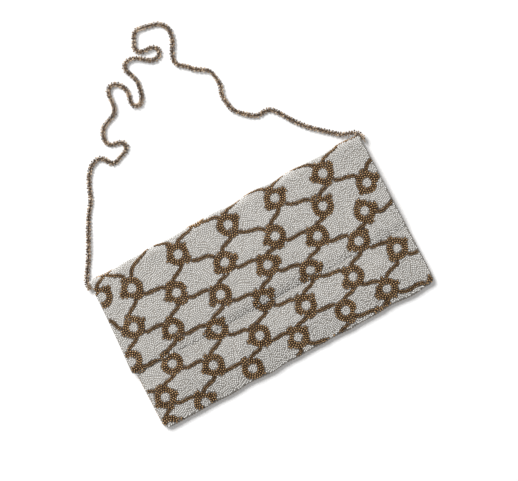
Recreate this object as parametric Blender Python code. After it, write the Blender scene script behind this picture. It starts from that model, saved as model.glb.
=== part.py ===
"""A beaded evening clutch, closed and lying on its back, with a braided bead strap.

The long side runs along X, the fold of the flap is at +Y, and Z is up from the table.
The outer cloth is cut and beaded flat, then folded into back, fold and flap.
"""

import math

import bmesh
import bpy
from mathutils import Vector

MM = 0.001

# The bag, closed and flat
BAG_WIDTH = 244 * MM
BAG_HEIGHT = 132 * MM
FLAP_DEPTH = 82 * MM
CORNER_RADIUS = 7 * MM
LEAN = 3 * MM  # the top sits this much further right than the foot
FLAP_FLARE = 3 * MM  # the flap's left corner stands out this far

# What its layers are made of
BEADED_CLOTH = 2.0 * MM
LINING_WALL = 0.6 * MM
CLEARANCE = 0.3 * MM
POCKET_ROOM = 4.6 * MM
SIDE_EASE = 34 * MM  # the front rises to its full height over this distance from a seam
FOOT_EASE = 34 * MM
LINING_INSET = 11 * MM
LINING_CLEARANCE = 0.5 * MM  # more than elsewhere, because lining and front are facetted apart

# The grid of lines that the layers bend on
SEAM_COLUMNS = (0, 0.3, 0.65, 1)  # shares of SIDE_EASE
COLUMN_STEP = 30 * MM
BACK_STEP = 24 * MM
FOLD_STEP = 2.6 * MM
FLAP_STEP = 11 * MM
INNER_STEP = 12 * MM
SHARP_ANGLE = math.radians(35)

# The bronze beadwork, raised above the white
BEADWORK_RISE = 0.9 * MM
BEADWORK_SINK = 0.7 * MM
VINE_RELIEF = 0.8  # a vine stands this share of a ring's height
RING_OUTER = 9.3 * MM
RING_INNER = 4.0 * MM
RING_LOBES = 5
RING_LOBE_DEPTH = 0.08
RING_SIDES = 10
VINE_WIDTH = 3.2 * MM
VINE_BOW = 3.0 * MM
VINE_STEPS = 3
RING_START = Vector((-1.5 * MM, 48.5 * MM))
RING_ACROSS = Vector((27.5 * MM, -19.5 * MM))
RING_DOWN = Vector((-16.2 * MM, -21.8 * MM))
RING_REACH = 1.2 * RING_OUTER  # a ring further than this past an edge is left out
RING_SPAN = 16  # more rings each way than the cloth holds
EDGE_MARGIN = 0.4 * MM

# The press stud
SNAP_RADIUS = 5.5 * MM
SNAP_DOME = 0.85 * SNAP_RADIUS  # the flat inside its rounded rim
STUD_BASE = 0.9 * MM
STUD_RADIUS = 1.6 * MM
STUD_NECK = 0.8 * STUD_RADIUS
STUD_TIP = 0.7 * STUD_RADIUS
STUD_BORE = 0.3 * STUD_RADIUS
STUD_HEIGHT = 1.2 * MM
SOCKET_HEIGHT = 1.2 * MM
SOCKET_CLEARANCE = 0.3 * MM
SOCKET_DROP = SOCKET_CLEARANCE / 2  # the facetted flap lies this much lower than its curve
SNAP_ABOVE_EDGE = 18 * MM
SNAP_SPREAD = 48 * MM  # the flap rises over the press stud within this radius
SNAP_SIDES = 24

# The strap, a braid of bead strings
STRAP_DIAMETER = 3.2 * MM
STRAP_LIFT = 0.2 * MM  # the tube's underside stays this far off the table

HALF_WIDTH = BAG_WIDTH / 2
FOOT = -(BAG_HEIGHT + BEADWORK_RISE) / 2  # the beadwork on the fold stands above TOP
TOP = FOOT + BAG_HEIGHT
FLAP_EDGE = TOP - FLAP_DEPTH
POCKET_SPACE = POCKET_ROOM + 2 * LINING_WALL + LINING_CLEARANCE
SNAP_STACK = STUD_BASE + SOCKET_CLEARANCE + SOCKET_HEIGHT
SNAP_ROOM = SNAP_STACK + CLEARANCE
SNAP_PLACE = Vector((0, FLAP_EDGE + SNAP_ABOVE_EDGE))
MID_FOLD_RADIUS = (3 * BEADED_CLOTH + 2 * CLEARANCE + POCKET_SPACE) / 2
FOLD_TURN = MID_FOLD_RADIUS * math.pi / 2  # a quarter turn of the fold, along the cloth
CREST = TOP - MID_FOLD_RADIUS + FOLD_TURN  # where the fold's crest comes in the flat pattern
MOUTH = TOP - MID_FOLD_RADIUS - BEADED_CLOTH


def ease(distance, over):
    """0 at a seam, rising quickly and then levelling out at 1."""
    return math.sin(math.pi / 2 * min(max(distance / over, 0), 1))


def sides(x):
    return ease(HALF_WIDTH - abs(x), SIDE_EASE)


def front_top(x, y):
    """Height of the front's beaded face."""
    fullness = sides(x) * ease(y - FOOT, FOOT_EASE)
    return BEADWORK_RISE + 2 * BEADED_CLOTH + CLEARANCE + POCKET_SPACE * fullness


def flap_top(x, y):
    """Height of the flap's beaded face, with the rise over the press stud."""
    far = (Vector((x, y)) - SNAP_PLACE).length / SNAP_SPREAD
    rise = SNAP_ROOM * (1 - far * far) ** 2 if far < 1 else 0
    return front_top(x, y) + CLEARANCE + BEADED_CLOTH + rise


def fold_radius(x):
    return (flap_top(x, TOP) - BEADWORK_RISE) / 2


def lean(x, y):
    """x moved over, by a quarter of the lean less so that the flared outline is centred."""
    return x + LEAN * (y - FOOT) / BAG_HEIGHT - FLAP_FLARE / 4


def corner(x, from_edge):
    """x drawn in where a rounded corner leaves less width."""
    if from_edge >= CORNER_RADIUS:
        return x
    gap = CORNER_RADIUS - max(from_edge, 0)
    lost = CORNER_RADIUS - math.sqrt(CORNER_RADIUS**2 - gap**2)
    return x * (HALF_WIDTH - lost) / HALF_WIDTH


def on_strip(x, along, height):
    """A place on the folded strip. along is 0 on the fold's crest, positive down the flap
    and negative down the back. height is outwards from the beaded face."""
    radius = fold_radius(x)
    quarter = radius * math.pi / 2
    eased = quarter + MID_FOLD_RADIUS - radius  # the cloth is eased in where the fold is flatter
    from_crest = min(abs(along) / FOLD_TURN, 1) * eased
    if from_crest <= quarter and abs(along) <= FOLD_TURN:
        angle = math.copysign(from_crest / radius, along)
        y = TOP - radius + (radius + height) * math.cos(angle)
        z = BEADWORK_RISE + radius + (radius + height) * math.sin(angle)
        return Vector((lean(x, y), y, z))
    y = TOP - radius - (from_crest - quarter) - max(abs(along) - FOLD_TURN, 0)
    if along < 0:
        return Vector((lean(corner(x, y - FOOT), y), y, BEADWORK_RISE - height))
    rounded = corner(x, y - FLAP_EDGE)
    z = flap_top(rounded, y) + height
    flare = FLAP_FLARE * (along / FLAP_DEPTH) ** 2 * max(-x / HALF_WIDTH, 0)
    return Vector((lean(rounded, y) - flare, y, z))


def on_front(x, y, height):
    return Vector((lean(corner(x, y - FOOT), y), y, front_top(x, y) + height))


def material(name, colour, roughness, metallic=0.0):
    made = bpy.data.materials.new(name)
    made.use_nodes = True
    shader = made.node_tree.nodes["Principled BSDF"]
    shader.inputs["Base Color"].default_value = (*colour, 1)
    shader.inputs["Roughness"].default_value = roughness
    shader.inputs["Metallic"].default_value = metallic
    return made


def new_object(name, bm, *materials):
    mesh = bpy.data.meshes.new(name)
    bmesh.ops.recalc_face_normals(bm, faces=bm.faces)
    bm.to_mesh(mesh)
    bm.free()
    for made in materials:
        mesh.materials.append(made)
    made = bpy.data.objects.new(name, mesh)
    bpy.context.scene.collection.objects.link(made)
    return made


def evaluated_mesh(obj):
    graph = bpy.context.evaluated_depsgraph_get()
    return bpy.data.meshes.new_from_object(obj.evaluated_get(graph))


def cut_with(obj, other, operation):
    """The mesh of obj after a Boolean with other, which is then removed."""
    cut = obj.modifiers.new(operation.title(), "BOOLEAN")
    cut.operation = operation
    cut.object = other
    cut.use_self = operation == "UNION"
    cut.material_mode = "TRANSFER"
    made = evaluated_mesh(obj)
    obj.modifiers.clear()
    obj.data = made
    bpy.data.objects.remove(other)


def slab(columns, rows, low, high):
    """A closed flat slab of cloth on the given lines across and along."""
    bm = bmesh.new()
    grid = [[bm.verts.new((x, y, low)) for x in columns] for y in rows]
    for row, above in zip(grid, grid[1:]):
        for corners in zip(row, row[1:], above[1:], above):
            bm.faces.new(corners)
    raised = bmesh.ops.extrude_face_region(bm, geom=bm.faces[:], use_keep_orig=True)
    bmesh.ops.translate(
        bm,
        verts=[v for v in raised["geom"] if isinstance(v, bmesh.types.BMVert)],
        vec=(0, 0, high - low),
    )
    return bm


def raise_faces(bm, faces, height):
    """Turns flat faces into a closed solid of that height."""
    made = bmesh.ops.extrude_face_region(bm, geom=faces, use_keep_orig=True)
    top = [v for v in made["geom"] if isinstance(v, bmesh.types.BMVert)]
    bmesh.ops.translate(bm, verts=top, vec=(0, 0, height))


def ring(bm, centre):
    """A flower-like ring of beads, five-lobed outside and round inside."""
    loops = []
    rims = ((RING_OUTER, RING_LOBE_DEPTH, RING_SIDES), (RING_INNER, 0, RING_SIDES // 2))
    for radius, lobe, count in rims:
        loop = []
        for step in range(count):
            turn = 2 * math.pi * step / count
            reach = radius * (1 + lobe * math.cos(RING_LOBES * turn))
            offset = Vector((math.cos(turn), math.sin(turn))) * reach
            loop.append(bm.verts.new((*(centre + offset), -BEADWORK_SINK)))
        loops += [bm.edges.new(pair) for pair in zip(loop, loop[1:] + loop[:1])]
    made = bmesh.ops.bridge_loops(bm, edges=loops)
    raise_faces(bm, made["faces"], BEADWORK_SINK + BEADWORK_RISE)


def vine(bm, start, end, bow):
    """A double row of beads from one ring to the next, bowed one way and then the other."""
    way = end - start
    across = Vector((-way.y, way.x)).normalized()
    grip = (RING_OUTER + RING_INNER) / 2 / way.length
    pairs = []
    for step in range(VINE_STEPS + 1):
        t = grip + (1 - 2 * grip) * step / VINE_STEPS
        middle = start + way * t + across * bow * math.sin(2 * math.pi * t)
        pairs.append([bm.verts.new((*(middle + across * side), -BEADWORK_SINK * VINE_RELIEF))
                      for side in (VINE_WIDTH / 2, -VINE_WIDTH / 2)])
    faces = [bm.faces.new((a[0], a[1], b[1], b[0])) for a, b in zip(pairs, pairs[1:])]
    raise_faces(bm, faces, (BEADWORK_SINK + BEADWORK_RISE) * VINE_RELIEF)


def trim(bm, point, normal):
    """Cuts away what lies past an edge and closes the cut."""
    geometry = bm.verts[:] + bm.edges[:] + bm.faces[:]
    made = bmesh.ops.bisect_plane(bm, geom=geometry, plane_co=point, plane_no=normal, clear_outer=True)
    edges = [e for e in made["geom_cut"] if isinstance(e, bmesh.types.BMEdge)]
    bmesh.ops.edgeloop_fill(bm, edges=edges)


def beadwork(name, low, high, finish):
    """The rings and vines between two lines, trimmed at the edges of the cloth."""
    bm = bmesh.new()
    span = range(-RING_SPAN, RING_SPAN + 1)
    for i in span:
        for j in span:
            centre = RING_START + RING_ACROSS * i + RING_DOWN * j
            within = low - RING_REACH < centre.y < high + RING_REACH
            if not within or abs(centre.x) > HALF_WIDTH + RING_REACH:
                continue
            ring(bm, centre)
            vine(bm, centre, centre + RING_ACROSS, -VINE_BOW)
            vine(bm, centre, centre + RING_DOWN, VINE_BOW)
    side = HALF_WIDTH - EDGE_MARGIN
    trim(bm, (side, 0, 0), (1, 0, 0))
    trim(bm, (-side, 0, 0), (-1, 0, 0))
    trim(bm, (0, high - EDGE_MARGIN, 0), (0, 1, 0))
    trim(bm, (0, low + EDGE_MARGIN, 0), (0, -1, 0))
    return new_object(name, bm, finish)


def columns():
    """Lines across the bag, closer together towards its side seams."""
    inner = [HALF_WIDTH - SIDE_EASE * share for share in SEAM_COLUMNS]
    middle = [inner[-1] - COLUMN_STEP, inner[-1] - 2 * COLUMN_STEP]
    right = [*inner, *middle]
    return [-x for x in right] + [0] + right[::-1]


def lines(start, end, step):
    count = max(1, round(abs(end - start) / step))
    return [start + (end - start) * k / count for k in range(count + 1)]


def bend(obj, place):
    """Moves each point of the flat cloth to its place on the folded bag."""
    for vertex in obj.data.vertices:
        vertex.co = place(*vertex.co)
    obj.data.update()


def back_and_flap(white, bronze):
    """One strip of beaded cloth: back, fold and flap."""
    start, end = FOOT - CREST, CREST - FLAP_EDGE
    rows = [start, start + CORNER_RADIUS / 4]
    rows += lines(start + CORNER_RADIUS, -FOLD_TURN, BACK_STEP)
    rows += lines(-FOLD_TURN, FOLD_TURN, FOLD_STEP)[1:]
    rows += lines(FOLD_TURN, end - CORNER_RADIUS, FLAP_STEP)[1:]
    rows += [end - CORNER_RADIUS / 4, end]
    made = new_object("beaded_back_and_flap", slab(columns(), rows, -BEADED_CLOTH, 0), white)
    pattern = beadwork("strip_beadwork", CREST - end, CREST - start, bronze)
    for vertex in pattern.data.vertices:
        vertex.co.y = CREST - vertex.co.y
    pattern.data.flip_normals()
    cut_with(made, pattern, "UNION")
    bend(made, on_strip)
    made.data.flip_normals()  # along runs down the flap, so folding mirrors the cloth
    return made


def front(white, bronze):
    """The front of the pocket, from its mouth under the flap down to the foot seam."""
    rows = [FOOT, FOOT + CORNER_RADIUS / 4, *lines(FOOT + CORNER_RADIUS, FLAP_EDGE, FLAP_STEP)]
    rows += lines(FLAP_EDGE, MOUTH, INNER_STEP)[1:]
    made = new_object("beaded_front", slab(columns(), rows, -BEADED_CLOTH, 0), white)
    pattern = beadwork("front_beadwork", FOOT, FLAP_EDGE, bronze)
    cut_with(made, pattern, "UNION")
    bend(made, on_front)
    return made


def lining(finish):
    """A thin cloth pocket between front and back, open at the mouth."""
    floor = BEADWORK_RISE + BEADED_CLOTH + CLEARANCE
    half = HALF_WIDTH - LINING_INSET
    foot = FOOT + LINING_INSET

    def shaped(name, wall, mouth):
        edge = half - wall
        across = [-edge, *[x for x in columns() if abs(x) < edge], edge]
        along = lines(foot + wall, mouth, INNER_STEP)
        made = new_object(name, slab(across, along, 0, 1), finish)
        for vertex in made.data.vertices:
            x, y, share = vertex.co
            ceiling = front_top(x, y) - BEADED_CLOTH - LINING_CLEARANCE - wall
            vertex.co = (lean(x, y), y, floor + wall + (ceiling - floor - wall) * share)
        return made

    made = shaped("lining", 0, MOUTH - LINING_WALL)
    cut_with(made, shaped("lining_room", LINING_WALL, MOUTH + LINING_INSET), "DIFFERENCE")
    return made


def turned(name, profile, base, finish):
    """A round piece spun from (radius, height) points about its axis over the press stud's place."""
    bm = bmesh.new()
    points = [bm.verts.new((radius, 0, height)) for radius, height in profile]
    edges = [bm.edges.new(pair) for pair in zip(points, points[1:] + points[:1])]
    bmesh.ops.spin(bm, geom=points + edges, axis=(0, 0, 1), cent=(0, 0, 0),
                   angle=2 * math.pi, steps=SNAP_SIDES, use_merge=True)
    made = new_object(name, bm, finish)
    made.location = (lean(0, SNAP_PLACE.y), SNAP_PLACE.y, base)
    return made


def press_stud(metal):
    """The stud half on the front and the socket half under the flap."""
    stud_base = front_top(*SNAP_PLACE) + CLEARANCE
    tip = STUD_BASE + STUD_HEIGHT
    turned("snap_stud", [(STUD_BORE, 0), (SNAP_RADIUS, 0), (SNAP_RADIUS, STUD_BASE / 2),
                         (SNAP_DOME, STUD_BASE), (STUD_NECK, STUD_BASE),
                         (STUD_RADIUS, tip * 0.8), (STUD_TIP, tip), (STUD_BORE, tip)],
           stud_base, metal)
    hole = STUD_RADIUS + SOCKET_CLEARANCE
    turned("snap_socket", [(hole, 0), (SNAP_RADIUS / 2, 0), (SNAP_DOME, SOCKET_HEIGHT * 0.4),
                           (SNAP_RADIUS, SOCKET_HEIGHT * 0.6), (SNAP_RADIUS, SOCKET_HEIGHT),
                           (hole, SOCKET_HEIGHT)],
           stud_base + STUD_BASE + SOCKET_CLEARANCE - SOCKET_DROP, metal)


def strap_route():
    """Where the strap lies, in millimetres: sewn to the left side seam, along the table
    in the loose curves it fell into, and to the right end of the fold."""
    low = (STRAP_DIAMETER / 2 + STRAP_LIFT) / MM
    sewn = (BEADWORK_RISE + fold_radius(HALF_WIDTH)) / MM
    return [
        (-121.8, 60, sewn), (-121.8, 66, sewn), (-118.5, 71.5, 3), (-112.5, 80.5, low),
        (-94.5, 112.5, low), (-87.5, 122, low), (-83, 133, low), (-77.5, 142, low),
        (-70, 147.5, low), (-64, 147.5, low), (-61, 142, low), (-56, 139, low),
        (-50.5, 141.5, low), (-44.5, 142.5, low), (-42.5, 147.5, low), (-47.5, 150, low),
        (-53.5, 151.5, low), (-55, 159, low), (-51.5, 167, low), (-45, 170.5, low),
        (-39, 172.5, low), (-35.5, 178, low), (-34.5, 187, low), (-31, 194, low),
        (-25.5, 193.5, low), (-21, 188, low), (-20, 181, low), (-22, 174.5, low),
        (-19, 170, low), (-14.5, 173.5, low), (-11, 179.5, low), (-9, 187, low),
        (-11, 195, low), (-13.5, 201.5, low), (-9, 205.5, low), (-2, 204, low),
        (4, 199.5, low), (9.5, 195.5, low), (15.5, 196.5, low), (16.5, 202, low),
        (11.5, 205, low), (4.5, 205.5, low), (1, 209.5, low), (3.5, 214.5, low),
        (5, 220, low), (9.5, 223.5, low), (15, 221.5, low), (22, 221, low),
        (28.5, 218.5, low), (32.5, 212, low), (31, 203.5, low), (26.5, 195, low),
        (23, 188, low), (25.5, 182.5, low), (31, 179, low), (34.5, 173.5, low),
        (40, 170.5, low), (45, 166.5, low), (46.5, 159.5, low), (47, 151.5, low),
        (43.5, 145.5, low), (45, 138, low), (45.5, 131, low), (50, 126, low),
        (56, 120.5, low), (62, 116, low), (67.5, 118, low), (72.5, 117.5, low),
        (77, 111, low), (84, 100, low), (92, 90, low), (103, 80, low),
        (111, 72.5, 2.6), (116.5, 69.6, sewn), (121.5, 68.5, sewn),
    ]


def strap(finish):
    """One round tube along the route."""
    curve = bpy.data.curves.new("strap", "CURVE")
    curve.dimensions = "3D"
    curve.bevel_depth = STRAP_DIAMETER / 2
    curve.bevel_resolution = 2
    curve.use_fill_caps = True
    route = strap_route()
    line = curve.splines.new("POLY")
    line.points.add(len(route) - 1)
    for point, place in zip(line.points, route):
        point.co = (*(Vector(place) * MM), 1)
    curve.materials.append(finish)
    made = bpy.data.objects.new("strap", curve)
    bpy.context.scene.collection.objects.link(made)
    return made


def shade(obj):
    obj.data.shade_smooth()
    obj.data.set_sharp_from_angle(angle=SHARP_ANGLE)


def main():
    for old in list(bpy.data.objects):
        bpy.data.objects.remove(old)
    white = material("white_beads", (0.62, 0.60, 0.57), 0.45)
    bronze = material("bronze_beads", (0.20, 0.13, 0.07), 0.35, 0.5)
    satin = material("satin_lining", (0.72, 0.66, 0.56), 0.5)
    steel = material("snap_metal", (0.6, 0.58, 0.55), 0.3, 1.0)
    braid = material("strap_beads", (0.27, 0.19, 0.12), 0.4, 0.5)
    for made in (back_and_flap(white, bronze), front(white, bronze), lining(satin)):
        shade(made)
    press_stud(steel)
    strap(braid)


main()
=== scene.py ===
# %% [markdown]
# # A beaded evening clutch
#
# The bag is flat, 24 cm wide and 13 cm high, and lies closed on its back.
# Its cloth is covered with small glass beads, sewn on one by one: white beads in
# wandering rows, and bronze beads in rings joined by vines. A thin strap braided from
# strings of bronze beads lies loose above it.
#
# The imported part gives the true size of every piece. This script dresses it: real beads
# on the cloth in place of the raised bands, a real braid in place of the tube, and a
# finish on each surface.

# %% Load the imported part
import math
import random
from collections import deque

import bmesh
import bpy
import numpy as np
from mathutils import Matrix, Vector, noise


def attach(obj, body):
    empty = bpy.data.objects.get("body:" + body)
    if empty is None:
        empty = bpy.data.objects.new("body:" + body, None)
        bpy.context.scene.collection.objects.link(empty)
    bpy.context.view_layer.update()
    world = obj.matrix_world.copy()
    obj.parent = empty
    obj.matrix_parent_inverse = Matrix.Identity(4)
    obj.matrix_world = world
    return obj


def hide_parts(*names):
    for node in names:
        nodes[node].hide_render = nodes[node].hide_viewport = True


MM = 0.001
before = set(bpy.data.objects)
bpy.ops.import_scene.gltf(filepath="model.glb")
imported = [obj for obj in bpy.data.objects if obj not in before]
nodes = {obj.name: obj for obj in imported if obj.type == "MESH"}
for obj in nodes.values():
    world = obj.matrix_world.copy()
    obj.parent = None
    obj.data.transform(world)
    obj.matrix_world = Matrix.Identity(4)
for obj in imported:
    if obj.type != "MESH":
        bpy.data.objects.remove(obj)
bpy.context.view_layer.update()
scene = bpy.context.scene


def add_object(name, data):
    """A new object in the scene, from its mesh, curve, lamp or camera data."""
    made = bpy.data.objects.new(name, data)
    scene.collection.objects.link(made)
    return made


print("nodes:", ", ".join(sorted(nodes)))

# %% [markdown]
# ## The camera
#
# The photograph looks straight down, with the bag turned about 29 degrees. A long lens
# from well above keeps the view nearly parallel, as a catalogue picture is. A camera
# looks along its own -Z, so one that hangs over the table needs only a turn about Z.

# %% Camera
VIEW_CENTRE = Vector((14.4, 29.5, 10)) * MM
VIEW_WIDTH = 410.3 * MM
VIEW_TURN = math.radians(-28.76)
CAMERA_HEIGHT = 1.8

lens = bpy.data.cameras.new("camera")
lens.angle = 2 * math.atan(VIEW_WIDTH / 2 / CAMERA_HEIGHT)
camera = add_object("camera", lens)
camera.location = VIEW_CENTRE + Vector((0, 0, CAMERA_HEIGHT))
camera.rotation_euler = (0, 0, VIEW_TURN)
scene.camera = camera
print(f"camera {CAMERA_HEIGHT} m up, {math.degrees(lens.angle):.1f} degrees wide")

# %% [markdown]
# ## A bead, and many of it
#
# Every bead on the bag is the same shape: a small round bead, a little shorter along its
# thread than across it. An icosphere of 20 faces, shaded smooth, is enough at that size.
# One bead is made with a bmesh operator. The rest are copies of its points, each turned
# to its own thread and cloth, because thousands of separate objects would be slow.

# %% A bead and its copies
rng = random.Random(7)
BEAD_LENGTH = 0.82  # along the thread, as a share of its width
TONE = "tone"


def one_bead():
    """The points and faces of a bead of radius 1, with its thread along X."""
    bm = bmesh.new()
    bmesh.ops.create_icosphere(bm, subdivisions=1, radius=1)
    bmesh.ops.scale(bm, verts=bm.verts, vec=(BEAD_LENGTH, 1, 1))
    points = np.array([vertex.co for vertex in bm.verts])
    faces = np.array([[vertex.index for vertex in face.verts] for face in bm.faces])
    bm.free()
    return points, faces


def string_beads(name, beads, finish):
    """One mesh of many beads. Each is (centre, along, out, radius, tone)."""
    points, faces = one_bead()
    centre = np.array([bead[0] for bead in beads])
    along = np.array([bead[1] for bead in beads])
    out = np.array([bead[2] for bead in beads])
    along -= out * (along * out).sum(axis=1, keepdims=True)
    along /= np.linalg.norm(along, axis=1, keepdims=True)
    turned = np.stack([along, np.cross(out, along), out], axis=2)
    radius = np.array([bead[3] for bead in beads])[:, None, None]
    placed = np.einsum("nij,pj->npi", turned, points) * radius + centre[:, None]
    numbered = faces[None] + len(points) * np.arange(len(beads))[:, None, None]
    mesh = bpy.data.meshes.new(name)
    mesh.from_pydata(placed.reshape(-1, 3), [], numbered.reshape(-1, 3))
    mesh.shade_smooth()
    tones = mesh.attributes.new(TONE, "FLOAT", "POINT")
    tones.data.foreach_set("value", np.repeat([bead[4] for bead in beads], len(points)))
    mesh.materials.append(finish)
    print(f"{name}: {len(beads)} beads, {len(mesh.polygons)} faces")
    return add_object(name, mesh)


# %% [markdown]
# ## Finishes as Python
#
# A material is a web of nodes. Two small classes keep the web readable: Finish adds a
# node and fills its sockets in one call, and Number lets sums on a socket be written as
# sums.

# %% Finish and Number
NOISE_DETAIL = 2.0
MIX_COLOURS = (0, 6, 7)  # the Mix node's sockets for its share and its two colours
MIXED_COLOUR = 2


class Number:
    """A socket that carries a number; sums and products of it add Math nodes."""

    def __init__(self, finish, socket):
        self.finish = finish
        self.socket = socket

    def math(self, operation, other):
        node = self.finish.node("ShaderNodeMath", {"operation": operation}, {0: self, 1: other})
        return Number(self.finish, node.outputs[0])

    def __add__(self, other):
        return self.math("ADD", other)

    def __mul__(self, other):
        return self.math("MULTIPLY", other)


class Finish:
    """A material that grows by one node a call."""

    def __init__(self, name, roughness=0.5, metallic=0.0, **more):
        self.material = bpy.data.materials.new(name)
        self.material.use_nodes = True
        self.tree = self.material.node_tree
        self.shader = self.tree.nodes["Principled BSDF"]
        self.set(Roughness=roughness, Metallic=metallic, **more)

    def set(self, **sockets):
        for name, value in sockets.items():
            self.feed(self.shader.inputs[name.replace("_", " ")], value)

    def feed(self, socket, value):
        value = value.socket if isinstance(value, Number) else value
        if isinstance(value, bpy.types.NodeSocket):
            self.tree.links.new(value, socket)
        else:
            socket.default_value = value

    def node(self, kind, settings=None, sockets=None):
        made = self.tree.nodes.new(kind)
        for name, value in (settings or {}).items():
            if name == "stops":
                ramp = made.color_ramp.elements
                while len(ramp) < len(value):
                    ramp.new(1)
                for element, (position, colour) in zip(ramp, value):
                    element.position = position
                    element.color = (*colour, 1)
            else:
                setattr(made, name, value)
        for name, value in (sockets or {}).items():
            self.feed(made.inputs[name], value)
        return made

    def attribute(self, name):
        node = self.node("ShaderNodeAttribute", {"attribute_name": name})
        return Number(self, node.outputs["Fac"])

    def place(self):
        return self.node("ShaderNodeTexCoord").outputs["Object"]

    def noise(self, scale):
        sockets = {"Vector": self.place(), "Scale": scale, "Detail": NOISE_DETAIL}
        return Number(self, self.node("ShaderNodeTexNoise", sockets=sockets).outputs["Fac"])

    def ramp(self, value, stops):
        return self.node("ShaderNodeValToRGB", {"stops": stops}, {"Fac": value}).outputs["Color"]

    def mix(self, share, first, second):
        node = self.node("ShaderNodeMix", {"data_type": "RGBA"})
        for index, value in zip(MIX_COLOURS, (share, first, second)):
            self.feed(node.inputs[index], value)
        return node.outputs[MIXED_COLOUR]

    def mottle(self, scale, *stops):
        """A base colour that wanders between the stops, finer at a larger scale."""
        self.set(Base_Color=self.ramp(self.noise(scale), stops))

    def bump(self, height, strength, distance):
        sockets = {"Height": height, "Strength": strength, "Distance": distance}
        self.set(Normal=self.node("ShaderNodeBump", sockets=sockets).outputs["Normal"])


# %% [markdown]
# ## What the beads are made of
#
# The white beads are pearly glass. No two are quite alike, so each carries its own tone,
# from a cool grey to a warm cream, and a broad noise makes whole patches a shade warmer,
# as the dye lots of old beads do. The bronze beads have a metal glaze that is brightest
# where it has worn. On the strap, which is handled most, the glaze is duller and lets
# more of the tan glass through, and light and dark beads are mixed.

# %% Bead finishes
def glass_colours(finish, own, patch, *stops):
    """Base colour from each bead's own tone, and for the rest from a noise of this scale."""
    tone = finish.attribute(TONE) * own + finish.noise(patch) * (1 - own)
    finish.set(Base_Color=finish.ramp(tone, stops))


white_glass = Finish("white_bead_glass", roughness=0.3, Coat_Weight=0.35, Coat_Roughness=0.2)
glass_colours(
    white_glass, 0.7, 18,
    (0.0, (0.42, 0.415, 0.40)), (0.35, (0.68, 0.67, 0.645)),
    (0.75, (0.80, 0.785, 0.76)), (1.0, (0.90, 0.89, 0.87)))

bronze_glaze = Finish("bronze_bead_glaze", metallic=0.8, Coat_Weight=0.15, Coat_Roughness=0.1)
glass_colours(
    bronze_glaze, 0.75, 22,
    (0.0, (0.12, 0.06, 0.022)), (0.45, (0.32, 0.19, 0.085)),
    (0.8, (0.52, 0.34, 0.175)), (1.0, (0.74, 0.55, 0.34)))
bronze_glaze.set(Roughness=bronze_glaze.attribute(TONE) * 0.2 + 0.22)

strap_glaze = Finish("worn_strap_bead_glaze", Coat_Weight=0.1, Coat_Roughness=0.2)
glass_colours(
    strap_glaze, 0.8, 30,
    (0.0, (0.045, 0.024, 0.011)), (0.4, (0.13, 0.076, 0.038)),
    (0.65, (0.34, 0.232, 0.142)), (1.0, (0.66, 0.51, 0.36)))
strap_glaze.set(Roughness=strap_glaze.attribute(TONE) * 0.2 + 0.3)
print("bead finishes ready")

# %% [markdown]
# ## The strap's route
#
# The strap is about 58 cm long and is seen from end to end. It is sewn to the left side
# seam, wanders over the table and ends over the right corner of the fold. Its route is a
# list of points. A curve object could run through them, but the beads need places at even
# distances along it, so the smooth curve is worked out here. It follows the tube in the
# part, with its sharpest kinks eased to bends that a row of beads can make.

# %% The strap's route
STRAP_DIAMETER = 3.2 * MM
LOW = 2.45  # height of the strap's middle over the table, in millimetres
SEWN = 4.2  # and where it is sewn to the side seam
ROUTE_SHARES = 16  # places worked out between two points of the route
EASING_PASSES = 8
BRAID_STEP = 0.4 * MM  # between the points of the finished line
strap_route = [
    (-121.8, 60, SEWN), (-121.8, 66, SEWN), (-118.5, 71.5, 3), (-112.5, 80.5, LOW),
    (-94.5, 112.5, LOW), (-87.5, 122, LOW), (-83, 133, LOW), (-77.5, 142, LOW),
    (-71.5, 147, LOW), (-65.8, 148, LOW), (-61.8, 145, LOW), (-60, 140.6, LOW),
    (-56, 138.6, LOW), (-50.5, 140.8, LOW), (-45, 142.6, LOW), (-41.8, 146.4, LOW),
    (-43.6, 150.8, LOW), (-48.5, 151.7, LOW), (-53.5, 153.5, LOW), (-55, 159.5, LOW),
    (-51.5, 167, LOW), (-45, 170.5, LOW), (-39, 172.5, LOW), (-35.5, 178, LOW),
    (-34.8, 186, LOW), (-33.8, 191.3, LOW), (-30, 194.4, LOW), (-25, 192.8, LOW),
    (-21, 187.5, LOW), (-20.6, 181, LOW), (-22.2, 176, LOW), (-21.4, 171.3, LOW),
    (-17, 169.6, LOW), (-13.4, 172.8, LOW), (-11, 179.5, LOW), (-9.6, 187, LOW),
    (-11.4, 194, LOW), (-13.6, 199.4, LOW), (-12, 203.9, LOW), (-7.5, 205.4, LOW),
    (-2, 204, LOW), (3.5, 199.8, LOW), (8, 196.4, LOW), (13, 195.6, LOW),
    (17, 198.4, LOW), (16.8, 203.2, LOW), (12.5, 205.4, LOW), (6.5, 205.6, LOW),
    (1.8, 207.6, LOW), (1, 212, LOW), (3.4, 216.2, LOW), (5.4, 220.4, LOW),
    (9, 223.3, LOW), (14.5, 222.4, LOW), (21.5, 221, LOW), (28, 218.5, LOW),
    (32.2, 212, LOW), (31, 203.5, LOW), (26.5, 195, LOW), (23.6, 188.5, LOW),
    (25, 183, LOW), (30, 179.3, LOW), (34.5, 174, LOW), (40, 170.5, LOW),
    (45, 166.5, LOW), (46.5, 159.5, LOW), (46.8, 152, LOW), (44.2, 146, LOW),
    (44.4, 138.5, LOW), (46, 131, LOW), (50, 126, LOW), (56, 120.5, LOW),
    (61.5, 117, LOW), (67, 117.5, LOW), (72, 116.8, LOW), (77, 111, LOW),
    (84, 100, LOW), (92, 90, LOW), (103, 80, LOW), (111, 73, 3),
    (116.5, 70, 4.8), (121.5, 68.6, 5.6), (125.2, 65, 5.4), (126, 60, 4.6),
]


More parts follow.
